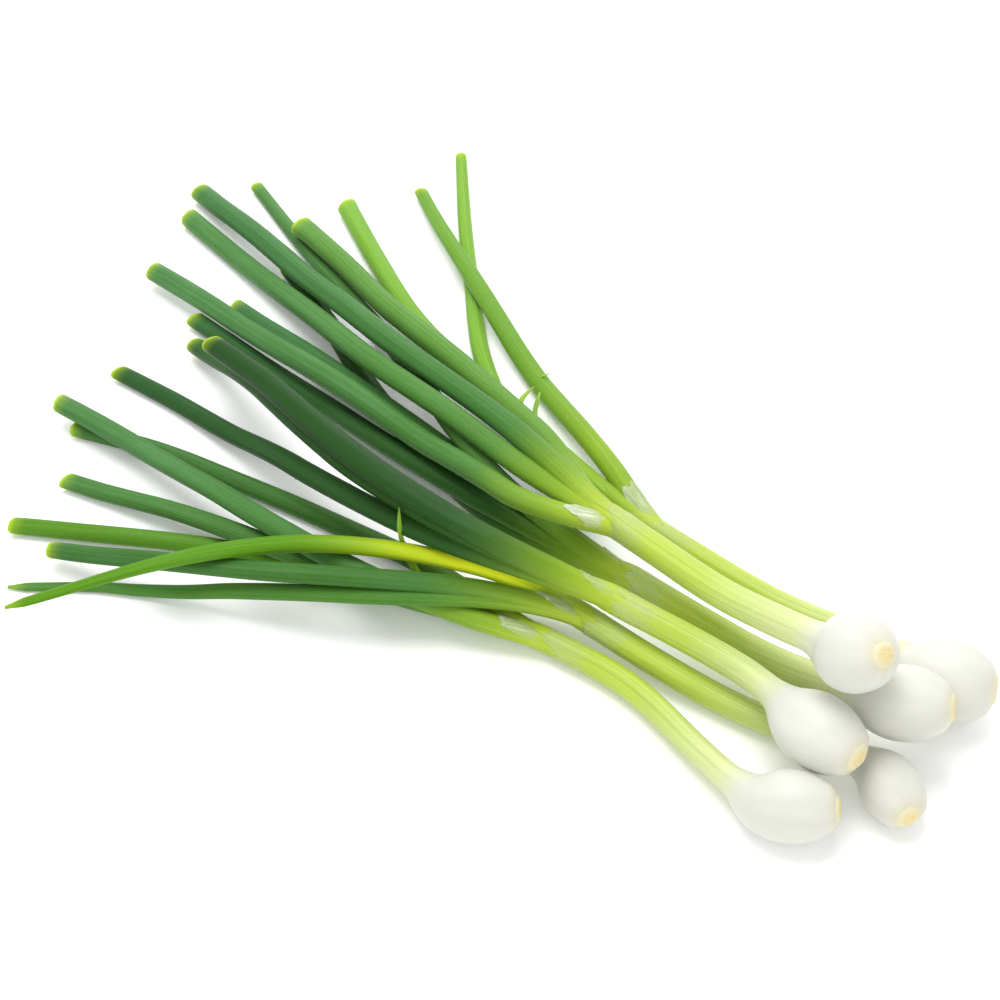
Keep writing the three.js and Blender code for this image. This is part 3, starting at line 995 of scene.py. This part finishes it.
def plate_mesh(name, onion):
    """A low dome that hugs the bulb's root end, bumpy where the roots were cut."""
    stem = onion.stem
    outward = -stem.tangent(0)
    side, up = section_axes(-outward)
    radius = stem.widths[0] * PLATE_SPREAD
    backs = [stem.distances[0] - d for d in stem.distances[:PLATE_REACH]]
    seed = seed_of(name)
    rings, edge = [], []
    for r in range(PLATE_ROWS):
        share = r / (PLATE_ROWS - 1)
        ring = []
        for k in range(PLATE_SIDES):
            angle = 2 * math.pi * k / PLATE_SIDES
            spoke = side * math.cos(angle) + up * math.sin(angle)
            spot = spoke * (1 - share) * 2.2 + Vector((seed, 0, 0))
            wobble = 1 + 0.09 * noise.noise(spoke * 1.4 + Vector((0, seed, 0)))
            reach = radius * (1 - share) * wobble
            back = float(np.interp(reach, stem.widths[:PLATE_REACH], backs))
            swell = PLATE_DOME * (1 - (1 - share) ** 2) - PLATE_TUCK * (share == 0)
            bumps = PLATE_BUMPS * noise.noise(spot * 3) * min(1.0, share * 4)
            ring.append(stem.centres[0] + outward * (back + swell + bumps) + spoke * reach)
        rings.append(on_table(ring))
        edge += [max(0.0, 1 - share * 1.7)] * PLATE_SIDES
    verts, faces = lofted(rings)
    return new_mesh(f"root_plate_{name}", verts, faces, {"edge": edge + [1.0, 0.0]})


class BuildRootPlates(bpy.types.Operator):
    """Build the trimmed root plates with their cut root scars"""

    bl_idname = "onions.build_root_plates"
    bl_label = "Build root plates"

    def execute(self, context):
        finish = plate_finish()
        for name, onion in onions().items():
            mesh = plate_mesh(name, onion)
            add_piece(f"plate_{name}", mesh, finish, "root_plate", f"{PREFIX}{name}_root_plate")
        return {"FINISHED"}


class Film:
    """Gathers the points, faces and attributes of thin papery skin."""

    def __init__(self):
        self.verts, self.faces, self.veil, self.grain = [], [], [], []

    def sheet(self, outer, inner, veil, grain, wrap):
        """Adds a curved sheet with two faces joined round its border."""
        rows, columns = len(outer), len(outer[0])
        first = len(self.verts)
        for layer in (outer, inner):
            for r in range(rows):
                for k in range(columns):
                    self.verts.append(layer[r][k])
                    self.veil.append(veil[r][k])
                    self.grain.append(grain[r][k])
        size = rows * columns
        steps = columns if wrap else columns - 1

        def face(*corners):
            numbers = (first + layer * size + r * columns + k % columns for layer, r, k in corners)
            self.faces.append(tuple(numbers))

        for r in range(rows - 1):
            for k in range(steps):
                face((0, r, k), (0, r, k + 1), (0, r + 1, k + 1), (0, r + 1, k))
                face((1, r + 1, k), (1, r + 1, k + 1), (1, r, k + 1), (1, r, k))
        for k in range(steps):
            for r in (0, rows - 1):
                face((0, r, k), (1, r, k), (1, r, k + 1), (0, r, k + 1))
        if not wrap:
            for r in range(rows - 1):
                for k in (0, columns - 1):
                    face((0, r, k), (0, r + 1, k), (1, r + 1, k), (1, r, k))

    def mesh(self, name):
        mesh = new_mesh(name, self.verts, self.faces, {"veil": self.veil, "grain": self.grain})
        shape = bmesh.new()
        shape.from_mesh(mesh)
        bmesh.ops.recalc_face_normals(shape, faces=shape.faces)
        shape.to_mesh(mesh)
        shape.free()
        return mesh


FILM_ROWS = 16
SLEEVE_COLUMNS = 80
FLAP_COLUMNS = 44
FILM_ROOT = 0.15 * MM  # how far a sheet starts under the surface that it lies on


def film_over(film, route, start, length, lift, angles, seed, torn, veil):
    """A sheet of skin that follows a route's surface and ends in an irregular edge."""
    wrap = abs(angles[1] - angles[0]) > 2 * math.pi - 0.01
    columns = SLEEVE_COLUMNS if wrap else FLAP_COLUMNS
    layers = ([], [], [], [])  # outer points, inner points, veil and grain
    for r in range(FILM_ROWS + 1):
        lines = ([], [], [], [])
        share = r / FILM_ROWS
        for k in range(columns):
            part = k / columns if wrap else k / (columns - 1)
            angle = angles[0] + (angles[1] - angles[0]) * part
            spot = Vector((math.cos(angle) * 1.6, math.sin(angle) * 1.6, seed))
            tear = 1 + torn * noise.noise(spot) + 0.25 * torn * noise.noise(spot * 5)
            if not wrap:
                tear *= 0.35 + 0.65 * math.sin(math.pi * part) ** 0.6
            distance = start + length * share * tear
            middle, wide, high, side, up = route.section(distance)
            wave = 0.35 * MM * share ** 2 * noise.noise(spot * 3 + Vector((0, 0, share * 2)))
            rise = -FILM_ROOT + (lift + FILM_ROOT) * share ** 0.7 + wave
            spoke = side * math.cos(angle) * (wide + rise) + up * math.sin(angle) * (high + rise)
            lines[0].append(middle + spoke)
            lines[1].append(middle + spoke - spoke.normalized() * sizes().sheath_wall)
            near_edge = 1.0 if wrap else min(1.0, (0.5 - abs(part - 0.5)) * 5)
            fade = min(1.0, share * 2.2) * near_edge
            lines[2].append(veil * fade * (1 + 0.5 * max(0.0, (share - 0.9) * 10)))
            lines[3].append((math.cos(angle), math.sin(angle), distance))
        on_table(lines[0])
        on_table(lines[1])
        for layer, line in zip(layers, lines):
            layer.append(line)
    film.sheet(*layers, wrap)


# Flaps of skin left round a leaf's base: leaf, millimetres past the collar, angles and veil
FLAPS = {
    "a": (("leaf_4", 15, (-60, 170), 0.95), ("leaf_2", 20, (-10, 190), 0.9)),
    "b": (("leaf_1", 20, (-20, 190), 0.6),),
    "c": (("leaf_2", 18, (-20, 170), 0.7),),
    "d": (("leaf_1", 14, (-60, 130), 0.4),),
    "e": (("leaf_2", 18, (-60, 140), 0.6),),
    "f": (("leaf_1", 18, (-60, 150), 0.6),),
}
SLEEVE_VEIL = 0.22
SLEEVE_START = 24 * MM  # below the collar
SLEEVE_LENGTH = 20 * MM
FLAP_START = 3 * MM  # below the collar


class BuildSheaths(bpy.types.Operator):
    """Build the papery sheath round the top of each neck and its torn flaps"""

    bl_idname = "onions.build_sheaths"
    bl_label = "Build sheaths"

    def execute(self, context):
        finish = sheath_finish()
        for name, onion in onions().items():
            film = Film()
            seed = seed_of(name)
            start = onion.collar - SLEEVE_START
            film_over(
                film, onion.stem, start, SLEEVE_LENGTH, 0.25 * MM, (0, 2 * math.pi), seed, 0.45,
                SLEEVE_VEIL,
            )
            for leaf, length, (low, high), veil in FLAPS[name]:
                route = onion.leaves[f"{PREFIX}{name}_{leaf}"]
                angles = (math.radians(low), math.radians(high))
                start = onion.collar - FLAP_START
                film_over(film, route, start, length * MM, 0.3 * MM, angles, seed, 0.35, veil)
            mesh = film.mesh(f"sheath_{name}")
            add_piece(f"skin_{name}", mesh, finish, "sheath", f"{PREFIX}{name}_sheath")
        return {"FINISHED"}


# Lights: name, place, disc size and power
LIGHTS = (
    ("key", (-0.25, 0.10, 1.2), 0.9, 10),
    ("fill", (0.8, -0.9, 0.8), 1.2, 4),
    ("back", (-0.5, 1.1, 0.8), 1.0, 5),
)
WORLD_LIGHT = 0.74
FLOOR_SIZE = 8
FLOOR_GLOW = 0.12


class BuildStage(bpy.types.Operator):
    """Set the floor, the lights and the camera"""

    bl_idname = "onions.build_stage"
    bl_label = "Build stage"

    def execute(self, context):
        bpy.ops.mesh.primitive_plane_add(size=FLOOR_SIZE, location=(0, 0, 0))
        floor = context.object
        floor.name = "floor"
        s = Shader(
            "pale_floor", Specular_IOR_Level=0.1, Roughness=0.9, Emission_Strength=FLOOR_GLOW,
            Base_Color=colours().floor, Emission_Color=colours().floor,
        )
        floor.data.materials.append(s.material)
        for light in LIGHTS:
            add_light(*light)
        world = bpy.data.worlds.new("studio")
        context.scene.world = world
        world.use_nodes = True
        background = world.node_tree.nodes["Background"]
        background.inputs["Color"].default_value = (1, 1, 1, 1)
        background.inputs["Strength"].default_value = WORLD_LIGHT
        context.scene.view_settings.view_transform = "Standard"
        add_camera(context.scene)
        return {"FINISHED"}


def add_facing(name, data, place, direction):
    """Puts a light or a camera at a place, facing a direction."""
    thing = bpy.data.objects.new(name, data)
    thing.location = place
    thing.rotation_mode = "QUATERNION"
    thing.rotation_quaternion = direction.to_track_quat("-Z", "Y")
    bpy.context.scene.collection.objects.link(thing)
    return thing


def add_light(name, place, size, power):
    """A disc of light that faces the middle of the bunch."""
    data = bpy.data.lights.new(name, "AREA")
    data.shape = "DISK"
    data.size = size
    data.energy = power
    add_facing(name, data, place, -Vector(place))


def add_camera(scene):
    """A camera that looks at the target from the stage's angles and distance."""
    stage = scene.onion_stage
    data = bpy.data.cameras.new("camera")
    data.sensor_width = 36
    data.lens = stage.lens
    a, e = stage.azimuth, stage.elevation
    back = Vector((math.sin(a) * math.cos(e), -math.cos(a) * math.cos(e), math.sin(e)))
    place = Vector(stage.target) + back * stage.distance
    scene.camera = add_facing("camera", data, place, -back)


OPERATORS = (BuildStems, BuildLeaves, BuildShoots, BuildRootPlates, BuildSheaths, BuildStage)


class OnionPanel(bpy.types.Panel):
    """Lists the steps that build the bunch"""

    bl_idname = "VIEW3D_PT_onions"
    bl_label = "Spring onion bunch"
    bl_space_type = "VIEW_3D"
    bl_region_type = "UI"
    bl_category = "Onions"

    def draw(self, context):
        for operator in OPERATORS:
            self.layout.operator(operator.bl_idname)
        for name in GROUPS:
            group = getattr(context.scene, name)
            for key in group.__annotations__:
                self.layout.prop(group, key)


GROUPS = {"onion_sizes": OnionSizes, "onion_colours": OnionColours, "onion_stage": StageSettings}


def register():
    for cls in (*GROUPS.values(), *OPERATORS, OnionPanel):
        bpy.utils.register_class(cls)
    for key, cls in GROUPS.items():
        setattr(bpy.types.Scene, key, bpy.props.PointerProperty(type=cls))


def unregister():
    for key in GROUPS:
        delattr(bpy.types.Scene, key)
    for cls in reversed((*GROUPS.values(), *OPERATORS, OnionPanel)):
        bpy.utils.unregister_class(cls)


def main():
    """Registers the add-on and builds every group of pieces."""
    register()
    for operator in OPERATORS:
        group, name = operator.bl_idname.split(".")
        getattr(getattr(bpy.ops, group), name)()


if __name__ == "__main__":
    main()
